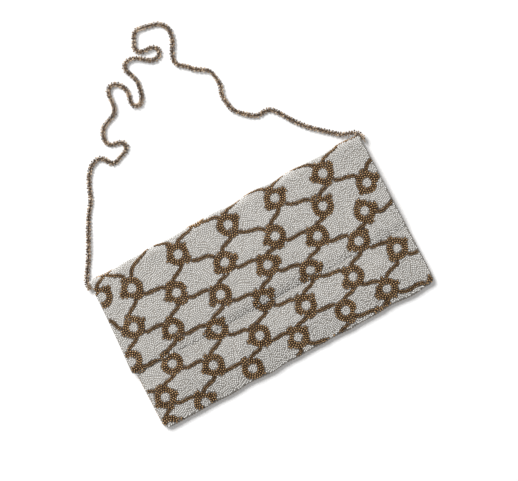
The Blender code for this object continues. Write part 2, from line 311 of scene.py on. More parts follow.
def between(four, share):
    """A point on the smooth curve through four points, between the middle two.

    The points are blended pair by pair, in three rounds. In spans, k is the pair, and a and
    b are the knots that it is blended between.
    """
    knots = [0.0]
    for near, far in zip(four, four[1:]):
        knots.append(knots[-1] + math.sqrt((far - near).length))
    t = knots[1] + (knots[2] - knots[1]) * share
    points = list(four)
    for spans in (((0, 0, 1), (1, 1, 2), (2, 2, 3)), ((0, 0, 2), (1, 1, 3)), ((0, 1, 2),)):
        points = [points[k].lerp(points[k + 1], (t - knots[a]) / (knots[b] - knots[a]))
                  for k, a, b in spans]
    return points[0]


def smooth_curve(route, step):
    """Points a step apart on the smooth curve through the route."""
    points = [Vector(place) * MM for place in route]
    points = [2 * points[0] - points[1], *points, 2 * points[-1] - points[-2]]
    fours = zip(points, points[1:], points[2:], points[3:])
    fine = [between(four, k / ROUTE_SHARES) for four in fours for k in range(ROUTE_SHARES)]
    fine = np.array([*fine, points[-2]])
    travelled = np.concatenate([[0], np.cumsum(np.linalg.norm(np.diff(fine, axis=0), axis=1))])
    even = np.linspace(0, travelled[-1], round(travelled[-1] / step) + 1)
    line = np.stack([np.interp(even, travelled, fine[:, k]) for k in range(3)], axis=1)
    return line, travelled[-1]


strap_line, strap_length = smooth_curve(strap_route, BRAID_STEP)
for _ in range(EASING_PASSES):
    strap_line[1:-1] = (strap_line[:-2] + strap_line[2:]) / 2
print(f"strap: {strap_length * 1000:.0f} mm long")

# %% [markdown]
# ## The braid
#
# On the real strap three strings of tiny beads are braided. So each string here swings from
# side to side and up and down, a third of a turn behind the next. The braid also rolls over
# now and then, which is why its width changes in the photograph.

# %% The braid
UP = Vector((0, 0, 1))
STRINGS = 3
STRAP_BEAD = 0.95 * MM
BRAID_REPEAT = 10.5 * MM
BRAID_SWING = 1.65 * MM
BRAID_RISE = 0.55 * MM
BRAID_BEAD_STEP = 1.6 * MM
BRAID_LOOK = 0.3 * MM  # a bead's thread points to a place this far ahead
STRING_LAG = 0.3 * MM  # each string's first bead starts this much later
STRAP_BEAD_SIZES = (0.9, 1.08)
BRAID_ROLL = 1.6  # radians for a noise of 1, which it never quite reaches
ROLL_LENGTH = 24 * MM
ROLL_SEED = 3.7
STRAP_PATCH = 2.3 * MM  # the strings change from dark to light beads over about this length
STRAP_TONE = 0.52
STRAP_TONE_SWING = 1.2
STRAP_BEAD_TONES = (-0.15, 0.15)
STRING_SEED = 9.1
TONE_SEED = 2.2
FRAME_REACH = 3  # the braid's direction is taken over this many points to either side


def braid_frame(at):
    """The strap's middle, and its side and up directions, at a distance from its start."""
    index = min(max(at / BRAID_STEP, 0), len(strap_line) - 1.001)
    low = int(index)
    middle = Vector(strap_line[low]).lerp(Vector(strap_line[low + 1]), index - low)
    before, after = max(low - FRAME_REACH, 0), min(low + 1 + FRAME_REACH, len(strap_line) - 1)
    ahead = Vector(strap_line[after] - strap_line[before]).normalized()
    side = ahead.cross(UP).normalized()
    up = side.cross(ahead)
    roll = noise.noise(Vector((at / ROLL_LENGTH, 0, ROLL_SEED))) * BRAID_ROLL
    rolled_side = side * math.cos(roll) + up * math.sin(roll)
    rolled_up = up * math.cos(roll) - side * math.sin(roll)
    return middle, rolled_side, rolled_up


def strand_point(strand, at):
    """A place on one string of the braid, and the way out from the braid's middle."""
    middle, side, up = braid_frame(at)
    turn = 2 * math.pi * (at / BRAID_REPEAT + strand / STRINGS)
    offset = side * (BRAID_SWING * math.sin(turn)) + up * (BRAID_RISE * math.sin(2 * turn))
    return middle + offset, up


strap_beads = []
for strand in range(STRINGS):
    at = STRING_LAG * strand
    while at < strap_length:
        here, out = strand_point(strand, at)
        ahead = strand_point(strand, at + BRAID_LOOK)[0] - here
        radius = STRAP_BEAD * rng.uniform(*STRAP_BEAD_SIZES)
        patch = noise.noise(Vector((at / STRAP_PATCH, STRING_SEED * strand, TONE_SEED)))
        tone = STRAP_TONE + STRAP_TONE_SWING * patch + rng.uniform(*STRAP_BEAD_TONES)
        strap_beads.append((here, ahead, out, radius, min(max(tone, 0), 1)))
        at += BRAID_BEAD_STEP
strap = string_beads("strap_braid", strap_beads, strap_glaze.material)

# %% [markdown]
# ## The bag's shape
#
# The outer cloth is one long strip: back, fold and flap. It is beaded flat and folded
# afterwards, so the beads are placed here on the flat strip too, and a few functions carry
# each place to the folded bag. They follow the part's own functions, with a few
# differences: real cloth swells slightly, its corners are sharper, the flap's edge comes
# down to rest on the front, and the back is raised to stand on its beads. The front is a
# second cloth, seen below the flap's edge.

# %% Shape of the bag
BAG_WIDTH = 244 * MM
BAG_HEIGHT = 132 * MM
FLAP_DEPTH = 82 * MM
CORNER_RADIUS = 4.5 * MM  # a little sharper than in the solid
FLAP_CORNER = 3 * MM
LEAN = 3 * MM
FLAP_FLARE = 3 * MM
BEADED_CLOTH = 2.0 * MM
CLEARANCE = 0.3 * MM
POCKET_SPACE = 6.3 * MM
EASE = 34 * MM
RELIEF = 0.9 * MM
SNAP_ROOM = 2.7 * MM
SNAP_SPREAD = 48 * MM
SNAP_UP = 18 * MM  # from the flap's edge to the press stud's middle
HALF_WIDTH = BAG_WIDTH / 2
FOOT = -(BAG_HEIGHT + RELIEF) / 2
TOP = FOOT + BAG_HEIGHT
FLAP_EDGE = TOP - FLAP_DEPTH
SNAP_PLACE = Vector((0, FLAP_EDGE + SNAP_UP))
MID_FOLD_RADIUS = (3 * BEADED_CLOTH + 2 * CLEARANCE + POCKET_SPACE) / 2
FOLD_TURN = MID_FOLD_RADIUS * math.pi / 2
CREST = TOP - MID_FOLD_RADIUS + FOLD_TURN  # the fold's crest, on the flat strip
BACK_FOOT = 2 * CREST - FOOT
BACK_LIFT = 0.25 * MM  # the back stands on its highest beads
EDGE_REST = 9 * MM  # over this distance the flap comes down to rest on the front
EDGE_DROP = 1.5 * MM  # and ends this much below the part's flap
EDGE_WAVE = 0.8 * MM
EDGE_WAVE_LENGTH = 19 * MM
EDGE_STILL = 12 * MM  # the edges wander less and less over this distance to a corner
EDGE_FADE = 25 * MM  # and the cloth moves with them over this distance from the edge
FOOT_WANDER = 1.7  # the foot and the fold wander this many times as far as the flap's edge
SWELL_ACROSS = 31 * MM
SWELL_UP = 23 * MM
FLAP_SWELL = 1.1 * MM
FLAP_SWELL_START = 12 * MM  # below the top of the bag
FLAP_SWELL_RUN = 20 * MM
FRONT_SWELL = 1.2 * MM
FRONT_SWELL_END = 4 * MM  # below the flap's edge
FRONT_SWELL_RUN = 14 * MM
FLAP_SEED, FLAP_EDGE_SEED, FOOT_SEED, FRONT_SEED, FOLD_SEED = 1.0, 2.0, 5.0, 6.0, 9.0
FRONT_BANK = 0.4 * MM  # the front swells a little along the flap's edge
BANK_START, BANK_RUN = 10 * MM, 8 * MM  # from this far below the edge, and over this distance
FRONT_DIP = 0.9 * MM  # and lies lower under the flap
DIP_START, DIP_RUN = 1.0 * MM, 1.2 * MM  # from this far above the edge, and over this distance
print(f"bag {BAG_WIDTH * 1000:.0f} by {BAG_HEIGHT * 1000:.0f} mm")

# %% [markdown]
# ## Heights and edges
#
# The front is fullest in the middle, over the pocket, and flat at its seams. The flap lies
# on it and rises a little over the press stud. A soft noise stands for the swells of real
# cloth, and another for edges that no hand sews quite straight. A simulation could make
# such swells too, but functions let every bead follow them exactly.

# %% Heights and edges
def ease(distance, over):
    """From 0 at no distance to 1 over the whole of it, and level from there on."""
    return math.sin(math.pi / 2 * min(max(distance / over, 0), 1))


def swell(x, y, seed, size):
    """A soft swell of the cloth, never below its flat place."""
    return size * (0.5 + 0.5 * noise.noise(Vector((x / SWELL_ACROSS, y / SWELL_UP, seed))))


def edge_wave(x, seed):
    """How far an edge wanders out and in."""
    wave = EDGE_WAVE * noise.noise(Vector((x / EDGE_WAVE_LENGTH, 0, seed)))
    return wave * ease(HALF_WIDTH - abs(x), EDGE_STILL)


def front_top(x, y):
    fullness = ease(HALF_WIDTH - abs(x), EASE) * ease(y - FOOT, EASE)
    return RELIEF + 2 * BEADED_CLOTH + CLEARANCE + POCKET_SPACE * fullness


def snap_rise(x, y):
    """How far the press stud lifts the flap."""
    far = (Vector((x, y)) - SNAP_PLACE).length / SNAP_SPREAD
    return SNAP_ROOM * (1 - far * far) ** 2 if far < 1 else 0


def flap_top(x, y):
    return front_top(x, y) + CLEARANCE + BEADED_CLOTH + snap_rise(x, y)


def lean(x, y):
    return x + LEAN * (y - FOOT) / BAG_HEIGHT - FLAP_FLARE / 4


def flare(x, along):
    """How far the flap's left side stands out, more towards its edge."""
    return FLAP_FLARE * (along / FLAP_DEPTH) ** 2 * max(-x / HALF_WIDTH, 0)


def corner(x, from_edge, radius=CORNER_RADIUS):
    """x drawn in where a rounded corner leaves less width."""
    if from_edge >= radius:
        return x
    gap = radius - max(from_edge, 0)
    lost = radius - math.sqrt(radius**2 - gap**2)
    return x * (HALF_WIDTH - lost) / HALF_WIDTH


def foot_line(x, y):
    """y moved with the wandering foot seam, less and less further up."""
    return y + edge_wave(x, FOOT_SEED) * FOOT_WANDER * (1 - ease(y - FOOT, EDGE_FADE))


print(f"front {front_top(0, 0) * 1000:.1f} mm high, flap {flap_top(*SNAP_PLACE) * 1000:.1f} mm")

# %% [markdown]
# ## From the flat cloth to the bag
#
# One function folds the strip: the flap lies on top, the fold turns over as a half circle
# that is thicker in the middle of the bag, and the back lies on the table. The other lays
# the front over the pocket. Both take a height above the cloth, so they can also carry a
# bead that stands on it.

# %% From flat to folded
def on_strip(x, v, height=0.0):
    """From the flat strip, where v runs up the flap and on down the back, to the bag."""
    along = CREST - v
    radius = (flap_top(x, TOP) - RELIEF) / 2
    quarter = radius * math.pi / 2
    eased = quarter + MID_FOLD_RADIUS - radius
    from_crest = min(abs(along) / FOLD_TURN, 1) * eased
    if from_crest <= quarter and abs(along) <= FOLD_TURN:
        angle = math.copysign(from_crest / radius, along)
        y = TOP - radius + (radius + height) * math.cos(angle)
        y += edge_wave(x, FOLD_SEED) * FOOT_WANDER * math.cos(angle)
        z = RELIEF + radius + (radius + height) * math.sin(angle)
        return Vector((lean(x, y), y, z + BACK_LIFT * max(-math.sin(angle), 0)))
    y = TOP - radius - (from_crest - quarter) - max(abs(along) - FOLD_TURN, 0)
    if along < 0:
        rounded = corner(x, y - FOOT)
        y = foot_line(x, y)
        return Vector((lean(rounded, y), y, RELIEF + BACK_LIFT - height))
    rounded = corner(x, y - FLAP_EDGE, FLAP_CORNER)
    lift = swell(x, y, FLAP_SEED, FLAP_SWELL) * ease(TOP - FLAP_SWELL_START - y, FLAP_SWELL_RUN)
    lift *= ease(y - FLAP_EDGE, EDGE_REST)
    rest = (EDGE_DROP + snap_rise(rounded, y)) * (1 - ease(y - FLAP_EDGE, EDGE_REST))
    z = flap_top(rounded, y) + height + lift - rest
    y += edge_wave(x, FLAP_EDGE_SEED) * (1 - ease(y - FLAP_EDGE, EDGE_FADE))
    return Vector((lean(rounded, y) - flare(x, along), y, z))


def on_front(x, y, height=0.0):
    """From the flat front to the bag."""
    rounded = corner(x, y - FOOT)
    lift = swell(x, y, FRONT_SEED, FRONT_SWELL)
    lift *= ease(FLAP_EDGE - FRONT_SWELL_END - y, FRONT_SWELL_RUN)
    lift *= ease(y - FOOT, FRONT_SWELL_RUN)
    past_edge = y - FLAP_EDGE - edge_wave(x, FLAP_EDGE_SEED)
    lift += FRONT_BANK * ease(past_edge + BANK_START, BANK_RUN)
    lift -= (FRONT_BANK + FRONT_DIP) * ease(past_edge - DIP_START, DIP_RUN)
    z = front_top(rounded, y) + height + lift
    y = foot_line(x, y)
    return Vector((lean(rounded, y), y, z))


print(f"flat strip {BAG_WIDTH * 1000:.0f} by {(BACK_FOOT - FLAP_EDGE) * 1000:.0f} mm")

# %% [markdown]
# ## Where the rings stand
#
# The bronze rings stand on a slanted lattice, each a little off its place as hand work is.
# The lattice is drawn on the flat strip, so it runs on over the fold and down the back.
# Where the photograph shows a ring, its nudge from the lattice is given in millimetres.

# %% Where the rings stand
RING_BEAD = 0.88 * MM
VINE_BEAD = 0.62 * MM
WHITE_BEAD = 0.74 * MM
RING_START = Vector((-1.5, 48.5))
RING_ACROSS = Vector((27.5, -19.5))
RING_DOWN = Vector((-16.2, -21.8))
RING_ROWS = (4.7, 6.5, 8.25)
LOBE_ROW = 9.7
RING_POINTS = 48  # of a row's curve
LOBES = ((2, 0.025), (3, 0.03), (5, 0.03))  # how many lobes a row has, and how far they go out
SQUARE = 0.05  # the same for a ring's four blunt corners
SQUARE_TURN = -1.13  # these point up, down and sideways in the view
SQUARE_SWING = 0.8  # or up to this many radians to either side
LOBE_OUT = 0.045  # the fourth row is sewn only where a ring bulges out by more than this
RING_BEAD_STEP = 1.92
VINE_BOW = 3.0
VINE_WAVES = 1.25
VINE_ROW = 0.74  # half the distance between a vine's two rows
VINE_BEAD_STEP = 1.3
VINE_GRIP = 7.6  # a vine starts and ends this far from the rings' centres
VINE_POINTS = 24
THREAD_AHEAD = 0.2  # a bead's thread points to the row this far ahead
NUDGE_MOST = 1.5  # for rings that the photograph doesn't show
LATTICE_REACH = 16
SIDE_REACH = 150  # rings are made this far from the middle of the cloth
END_REACH = 30  # and this far past its ends
ring_nudges = {
    (1, -1): (-0.6, 2.2), (0, 0): (0.3, 3.6), (2, -2): (-1.7, -1.4), (-1, 1): (-1.8, 4.6),
    (-2, 2): (-3.0, 0.8), (2, -1): (2.1, -2.3), (3, -2): (-2.0, -4.9), (0, 1): (0.1, 0.8),
    (1, 0): (1.1, -2.5), (-1, 2): (-1.1, 0.3), (-2, 3): (-0.4, -5.0), (2, 0): (3.2, 0.9),
    (3, -1): (1.8, -2.2), (1, 1): (1.5, 2.0), (0, 2): (1.0, 1.6), (-1, 3): (-1.3, -1.9),
    (3, 0): (2.6, 1.1), (2, 1): (1.5, 1.5), (1, 2): (1.7, 1.1), (0, 3): (0.7, 1.0),
    (-1, 4): (1.1, -3.6), (4, 0): (-1.1, 0.7), (3, 1): (1.2, 0.5), (2, 2): (1.2, 0.7),
    (1, 3): (1.2, -0.4), (0, 4): (1.7, -1.0), (-1, 5): (-0.4, -2.9), (3, 2): (-0.6, 1.6),
    (2, 3): (-0.1, 3.1), (4, 1): (-7.4, -1.7), (1, 4): (0.1, 1.1), (0, 5): (-2.2, -2.1),
    (4, -1): (12, 8), (3, -3): (7, 3), (-3, 3): (16, 8.5), (-3, 2): (10.4, 11.6),
    (-2, 1): (10, 14), (-1, 0): (6, 6), (0, -1): (4, 9), (1, -2): (0, 8), (2, -3): (7, 2),
    (-1, 6): (8, -3.5), (-2, 4): (0.9, -6.6),
}
vines_left_out = {
    (3, -2, "down"), (2, -1, "across"), (3, -2, "across"), (-3, 3, "across"), (4, -1, "down"),
}
vines_to_the_edge = {(-2, 3): (-130, 33)}


def ring_centre(i, j):
    dice = random.Random(i * 97 + j * 31)
    chance = [dice.uniform(-NUDGE_MOST, NUDGE_MOST) for _ in range(2)]
    nudge = ring_nudges.get((i, j), chance)
    centre = RING_START + RING_ACROSS * i + RING_DOWN * j + Vector(nudge)
    centre.x -= lean(0, min(centre.y * MM, TOP)) / MM
    if centre.y * MM > FLAP_EDGE:
        centre.x += flare(centre.x * MM, CREST - centre.y * MM) / MM
    return centre


print(f"{len(ring_nudges)} rings have their own nudge")

# %% [markdown]
# ## Rings and vines
#
# A ring is three rows of bronze beads around a white middle, with part of a fourth row
# that gives it its lobes. Two rows of smaller beads wander from ring to ring as a vine. A
# painted pattern would look flat up close, so each row is a curve, and beads are set along
# it a bead apart.

# %% Rows of bronze beads
def spaced(points, step, closed=False):
    """Places a step apart along a line of points, each with the line's direction."""
    points = np.array(points + points[:1] if closed else points)
    travelled = np.concatenate([[0], np.cumsum(np.linalg.norm(np.diff(points, axis=0), axis=1))])
    count = max(2, round(travelled[-1] / step))
    even = np.linspace(0, travelled[-1], count + 1)[: count if closed else None]
    ahead = even + THREAD_AHEAD
    past_end = ahead > travelled[-1]
    ahead = ahead % travelled[-1] if closed else ahead - 2 * THREAD_AHEAD * past_end
    x, y = (np.interp(even, travelled, points[:, k]) for k in (0, 1))
    nx, ny = (np.interp(ahead, travelled, points[:, k]) for k in (0, 1))
    turns = np.where(past_end, np.arctan2(y - ny, x - nx), np.arctan2(ny - y, nx - x))
    return list(zip(x, y, turns))


def ring_rows(centre, dice):
    """The rows of one ring, rounder inside and lobed outside."""
    lobes = [(n, dice.uniform(0, 2 * math.pi), size) for n, size in LOBES]
    lobes.append((4, SQUARE_TURN + dice.uniform(-SQUARE_SWING, SQUARE_SWING), SQUARE))

    def reach(turn):
        """How far the ring bulges out at a turn, as a share of its radius."""
        return sum(size * math.cos(n * turn + phase) for n, phase, size in lobes)

    rows = []
    for number, radius in enumerate((*RING_ROWS, LOBE_ROW)):
        share = number / len(RING_ROWS)
        first = dice.uniform(0, 1)
        turns = [2 * math.pi * k / RING_POINTS + first for k in range(RING_POINTS)]
        row = [centre + Vector((math.cos(t), math.sin(t))) * radius * (1 + reach(t) * share)
               for t in turns]
        beads = spaced([tuple(p) for p in row], RING_BEAD_STEP, closed=True)
        if radius == LOBE_ROW:
            beads = [(x, y, turn) for x, y, turn in beads
                     if reach(math.atan2(y - centre.y, x - centre.x)) > LOBE_OUT]
        rows += beads
    return rows


def vine_rows(start, end, bow):
    """The two rows of a vine, from the edge of one ring to the edge of the next."""
    way = end - start
    across = Vector((-way.y, way.x)).normalized()
    grip = VINE_GRIP / way.length
    middle = []
    for step in range(VINE_POINTS + 1):
        t = grip + (1 - 2 * grip) * step / VINE_POINTS
        wave = math.sin(2 * math.pi * VINE_WAVES * (t - 0.5))
        middle.append(start + way * t - across * (bow * wave))
    rows = []
    for side in (VINE_ROW, -VINE_ROW):
        row = []
        for k, point in enumerate(middle):
            ahead = (middle[min(k + 1, VINE_POINTS)] - middle[max(k - 1, 0)]).normalized()
            row.append((point.x - ahead.y * side, point.y + ahead.x * side))
        rows += spaced(row, VINE_BEAD_STEP)
    return rows


print(f"one ring has {len(ring_rows(ring_centre(0, 0), random.Random(5)))} beads")

# %% [markdown]
# ## The whole bronze pattern
#
# Each place of the lattice gets its ring and two vines, one to the next ring across and one
# to the next ring down. The real pattern leaves a few vines out near the flap's sides.

# %% All rings and vines
def bronze_rows():
    """The place and turn of every bead in the rings, then in the vines, in millimetres."""
    rings, vines, centres = [], [], []
    lowest, highest = FOOT / MM - END_REACH, BACK_FOOT / MM + END_REACH
    for i in range(-LATTICE_REACH, LATTICE_REACH + 1):
        for j in range(-LATTICE_REACH, LATTICE_REACH + 1):
            centre = ring_centre(i, j)
            if abs(centre.x) > SIDE_REACH or not lowest < centre.y < highest:
                continue
            centres.append(tuple(centre))
            rings += ring_rows(centre, random.Random(i * 131 + j * 17 + 5))
            neighbours = (("across", (i + 1, j), -VINE_BOW), ("down", (i, j + 1), VINE_BOW))
            for way, other, bow in neighbours:
                if (i, j, way) not in vines_left_out:
                    vines += vine_rows(centre, ring_centre(*other), bow)
            if (i, j) in vines_to_the_edge:
                vines += vine_rows(centre, Vector(vines_to_the_edge[i, j]), VINE_BOW)
    return rings, vines, np.array(centres)


ring_places, vine_places, ring_centres = bronze_rows()
print(f"rings {len(ring_places)} and vines {len(vine_places)} places, some past the edges")

# %% [markdown]
# ## White beads in wandering rows
#
# The ground is filled the way a bead sewer fills it. A row starts in a free spot and
# follows the way the work runs there: round a ring when one is near, and otherwise in a
# slowly wandering direction. The next row goes close beside it, and rows end where they
# meet other beads. The last small gaps get single beads. An even grid of beads would be
# simpler, but the wandering rows are what makes the ground look sewn by hand. A dictionary
# of small squares makes it quick to find which beads lie near a place.

# %% Filling the ground
FILL_STEP = 1.4  # between beads along a row, in millimetres
ROW_LENGTH = 40  # beads, at most
ROW_APART = 0.99  # the least distance between beads, as a share of their two radii
GAP_APART = 0.9
RING_APART = 0.88
VINE_APART = 0.84
ROW_SIDE = 1.01 * ROW_APART * 2 * WHITE_BEAD / MM
BENDS = (0.5, 0.3, 0.1, -0.1, -0.3, -0.5)  # tries for the next bead, in radians off the way
BEND_COSINE = 0.6  # a row turns no sharper than this from bead to bead
ROW_WAIT = 2  # a row's last beads don't count as its neighbours yet
RING_HUG = 11.5  # rows closer than this to a ring's centre run round it
WANDER = 17  # the rows' way changes over about this many millimetres
WANDER_SEED = 4.0
EDGE_GAP = 0.7  # from a cloth's edge to the nearest beads' middles
SQUARE_SIDE = 2
SPOTS_A_MM = 4  # free spots are looked for on a grid of quarter millimetres
SPOT_STEP = 3  # at every third place of it


def row_way(x, y):
    """The way a row runs at a place: round a near ring, and otherwise wandering."""
    away = np.hypot(ring_centres[:, 0] - x, ring_centres[:, 1] - y)
    nearest = away.argmin()
    if away[nearest] < RING_HUG:
        return math.atan2(y - ring_centres[nearest, 1], x - ring_centres[nearest, 0]) + math.pi / 2
    return 2 * math.pi * noise.noise(Vector((x / WANDER, y / WANDER, WANDER_SEED)))


print(f"white rows lie {ROW_SIDE:.2f} mm apart")

# %% [markdown]
# ## Sewing a cloth
#
# A sewn cloth keeps a list of its beads and knows where there is still room. Bronze beads
# are sewn first and white ones fill the ground round them, as on the real bag, where the
# white rows part at every ring.

# %% Sewing a cloth
def square(x, y):
    """The small square that a place lies in."""
    return int(x // SQUARE_SIDE), int(y // SQUARE_SIDE)


def grid(low, high):
    return [k / SPOTS_A_MM for k in range(int(low * SPOTS_A_MM), int(high * SPOTS_A_MM), SPOT_STEP)]


class SewnCloth:
    """The beads on one flat cloth, in millimetres, and the room that is left between them."""

    def __init__(self, low, high):
        self.half = HALF_WIDTH / MM - EDGE_GAP
        self.low, self.high = low / MM + EDGE_GAP, high / MM - EDGE_GAP
        self.squares = {}
        self.beads = []

    def inside(self, x, y):
        return abs(x) < self.half and self.low < y < self.high

    def near(self, x, y):
        i, j = square(x, y)
        for a in (i - 1, i, i + 1):
            for b in (j - 1, j, j + 1):
                yield from self.squares.get((a, b), ())

    def room(self, x, y, radius, closeness):
        """Whether a bead fits at a place; a closeness under 1 lets beads overlap a little."""
        if not self.inside(x, y):
            return False
        for other_x, other_y, other_radius, _ in self.near(x, y):
            gap = (radius + other_radius) * closeness
            if (x - other_x) ** 2 + (y - other_y) ** 2 < gap * gap:
                return False
        return True

    def sew(self, x, y, turn, radius, kind):
        self.squares.setdefault(square(x, y), []).append((x, y, radius, kind))
        self.beads.append((x, y, turn, radius, kind))

    def sew_bronze(self):
        for kind, places, size, closeness in (("ring", ring_places, RING_BEAD, RING_APART),
                                              ("vine", vine_places, VINE_BEAD, VINE_APART)):
            radius = size / MM
            for x, y, turn in places:
                if self.room(x, y, radius, closeness):
                    self.sew(x, y, turn, radius, kind)

    def sew_row(self, x, y, hand):
        """A row that follows its way and keeps close beside what is already sewn."""
        radius = WHITE_BEAD / MM
        turn = row_way(x, y)
        row, waiting = [], []
        for _ in range(ROW_LENGTH):
            row.append((x, y, turn))
            waiting.append((x, y, turn))
            if len(waiting) > ROW_WAIT:
                self.sew(*waiting.pop(0), radius, "white")
            way = row_way(x, y)
            for bend in BENDS:
                ahead = way + bend * hand
                nx, ny = x + FILL_STEP * math.cos(ahead), y + FILL_STEP * math.sin(ahead)
                gentle = math.cos(ahead - turn) > BEND_COSINE
                if gentle and self.room(nx, ny, radius, ROW_APART):
                    x, y, turn = nx, ny, ahead
                    break
            else:
                break
        for place in waiting:
            self.sew(*place, radius, "white")
        return row

    def sew_white(self):
        """Row beside row from a first one, and single beads in the gaps that are left."""
        spots = [(x, y) for x in grid(-self.half, self.half) for y in grid(self.low, self.high)]
        rng.shuffle(spots)
        radius = WHITE_BEAD / MM
        for spot in spots:
            starts = deque([(*spot, 1)])
            while starts:
                x, y, hand = starts.popleft()
                if self.room(x, y, radius, ROW_APART):
                    for bx, by, turn in self.sew_row(x, y, hand):
                        for side in (1, -1):
                            starts.append((bx - side * ROW_SIDE * math.sin(turn),
                                           by + side * ROW_SIDE * math.cos(turn), -side))
        for x, y in spots:
            if self.room(x, y, radius, GAP_APART):
                self.sew(x, y, rng.uniform(0, 2 * math.pi), radius, "white")


print("ready to sew")

# %% [markdown]
# ## The two beaded cloths, still flat
#
# The strip is beaded from the flap's edge to the foot of the back. The front is beaded only
# where it is seen, and a little further, so that its beads go on under the flap's edge.

# %% Both cloths sewn
UNDER_FLAP = 1.8 * MM  # the front's beads go this far under the flap
strip_cloth = SewnCloth(FLAP_EDGE, BACK_FOOT)
front_cloth = SewnCloth(FOOT, FLAP_EDGE + UNDER_FLAP)
for cloth in (strip_cloth, front_cloth):
    cloth.sew_bronze()
    cloth.sew_white()
    whites = sum(bead[4] == "white" for bead in cloth.beads)
    print(f"sewn: {whites} white and {len(cloth.beads) - whites} bronze beads")

# %% [markdown]
# ## Beads onto the folded bag
#
# Each bead's place on the flat cloth is carried to the bag, together with a point just
# ahead on its thread and a point just above the cloth, which give its two directions.

# %% Place the beads
BEAD_HEIGHTS = {"white": -0.25 * MM, "ring": 0.12 * MM, "vine": 0.0}
BEAD_TONES = {"white": (0.2, 0.85), "ring": (0.4, 0.95), "vine": (0.25, 0.7)}
BEAD_SIZES = (0.93, 1.05)
HEIGHT_MOST = 0.08  # beads stand up to this many millimetres higher or lower
LOOK = 0.2 * MM
COLOURS = {
    "white": (("white",), white_glass.material),
    "bronze": (("ring", "vine"), bronze_glaze.material),
}
FOLD_END = CREST + FOLD_TURN
BACK_MIDDLE = (FOLD_END + BACK_FOOT) / 2


def folded(beads, carry):
    """Beads on the flat cloth, turned into beads on the bag."""
    made = []
    for x, y, turn, radius, kind in beads:
        x, y = x * MM, y * MM
        height = BEAD_HEIGHTS[kind] + rng.uniform(-HEIGHT_MOST, HEIGHT_MOST) * MM
        here = carry(x, y, height)
        ahead = carry(x + LOOK * math.cos(turn), y + LOOK * math.sin(turn), height) - here
        out = (carry(x, y, height + LOOK) - here).normalized()
        size = radius * MM * rng.uniform(*BEAD_SIZES)
        made.append((here, ahead, out, size, rng.uniform(*BEAD_TONES[kind])))
    return made


def dress(part, colour, cloth, carry, low, high):
    """The beads of one colour between two lines of a cloth, as one piece."""
    kinds, finish = COLOURS[colour]
    chosen = [bead for bead in cloth.beads if bead[4] in kinds and low <= bead[1] * MM < high]
    return string_beads(f"{part}_{colour}_beads", folded(chosen, carry), finish)


bead_pieces = []
for colour in COLOURS:
    bead_pieces += [
        dress("flap", colour, strip_cloth, on_strip, FLAP_EDGE, FOLD_END),
        dress("back", colour, strip_cloth, on_strip, FOLD_END, BACK_MIDDLE),
        dress("back_foot", colour, strip_cloth, on_strip, BACK_MIDDLE, BACK_FOOT),
        dress("front", colour, front_cloth, on_front, FOOT, FLAP_EDGE + UNDER_FLAP),
    ]

# %% [markdown]
# ## What the cloth is made of
#
# Between the beads a real bag shows its cloth: a fine weave, dim under the white and near
# black round the bronze beads. Both tones are partly the cloth's own colour and partly
# painted shade in the gaps between the beads. Its edges are turned in and tan, and the
# inside is cream satin. Two crossed waves make the weave, because it is far too fine to
# model.

# %% Cloth finishes
# where the ground's colour is painted shade: 1 in the gaps round the bronze beads
GAP_SHADE_NEAR_BRONZE = "bronze_near"


def weave(finish, pitch):
    """A fine over-and-under weave, as a height from 0 to 1."""
    spot = finish.node("ShaderNodeSeparateXYZ", sockets={"Vector": finish.place()})
    turn = 2 * math.pi / pitch
    warp, weft = (Number(finish, spot.outputs[k]) * turn for k in (0, 1))
    return (warp.math("SINE", 0) * weft.math("SINE", 0)) * 0.5 + 0.5


ground_cloth = Finish("ground_cloth", roughness=0.85)
threads = weave(ground_cloth, 0.5 * MM)
# Both weave colours hold painted shade: the pale one is dim for the shade in the gaps between the
# white beads, the dark one near black for the shade between the bronze beads.
pale_weave_gap_shade = ground_cloth.ramp(threads, [(0.0, (0.22, 0.205, 0.185)), (1.0, (0.42, 0.395, 0.36))])
dark_weave_gap_shade = ground_cloth.ramp(threads, [(0.0, (0.022, 0.012, 0.006)), (1.0, (0.06, 0.035, 0.018))])
ground_cloth.set(Base_Color=ground_cloth.mix(ground_cloth.attribute(GAP_SHADE_NEAR_BRONZE), pale_weave_gap_shade, dark_weave_gap_shade))
ground_cloth.bump(threads, 0.5, 0.05 * MM)

satin = Finish("cream_satin", roughness=0.38, Sheen_Weight=0.4)
satin.mottle(45, (0.2, (0.60, 0.53, 0.43)), (0.8, (0.72, 0.66, 0.56)))
satin.bump(weave(satin, 0.35 * MM), 0.25, 0.03 * MM)

tan_edge = Finish("tan_turned_edge", roughness=0.8, Sheen_Weight=0.2)
tan_edge.mottle(160, (0.2, (0.40, 0.30, 0.21)), (0.8, (0.56, 0.45, 0.34)))
tan_edge.bump(weave(tan_edge, 0.4 * MM), 0.5, 0.05 * MM)
print("cloth finishes ready")

# %% [markdown]
# ## The cloth under the beads
#
# Each cloth is a fine grid, carried to the folded shape by the same functions as the beads.
# Each of its points notes how near the bronze beads are, which its finish reads as a mask
# for the painted shade round them.
# Solidify gives it a wall, with the tan edge on its rim and the satin inside.

# %% The two cloths
CLOTH_CELL = 1.7 * MM
CLOTH_SINK = 0.45 * MM
CLOTH_WALL = 1.0 * MM
GAP_SHADE_REACH = 1.5  # from a bronze bead's middle, in millimetres
GAP_SHADE_FADE = 0.5
MOUTH = TOP - MID_FOLD_RADIUS - BEADED_CLOTH


def painted_gap_shade(cloth, x, y):
    """Painted shade round the bronze beads: 1 close to them, fading to 0 at the shade's reach from
    their middles.
    """
    bronze = [(ox, oy) for ox, oy, _, kind in cloth.near(x, y) if kind != "white"]
    nearest = min((math.hypot(x - ox, y - oy) for ox, oy in bronze), default=math.inf)
    return min(max((GAP_SHADE_REACH - nearest) / GAP_SHADE_FADE, 0), 1)


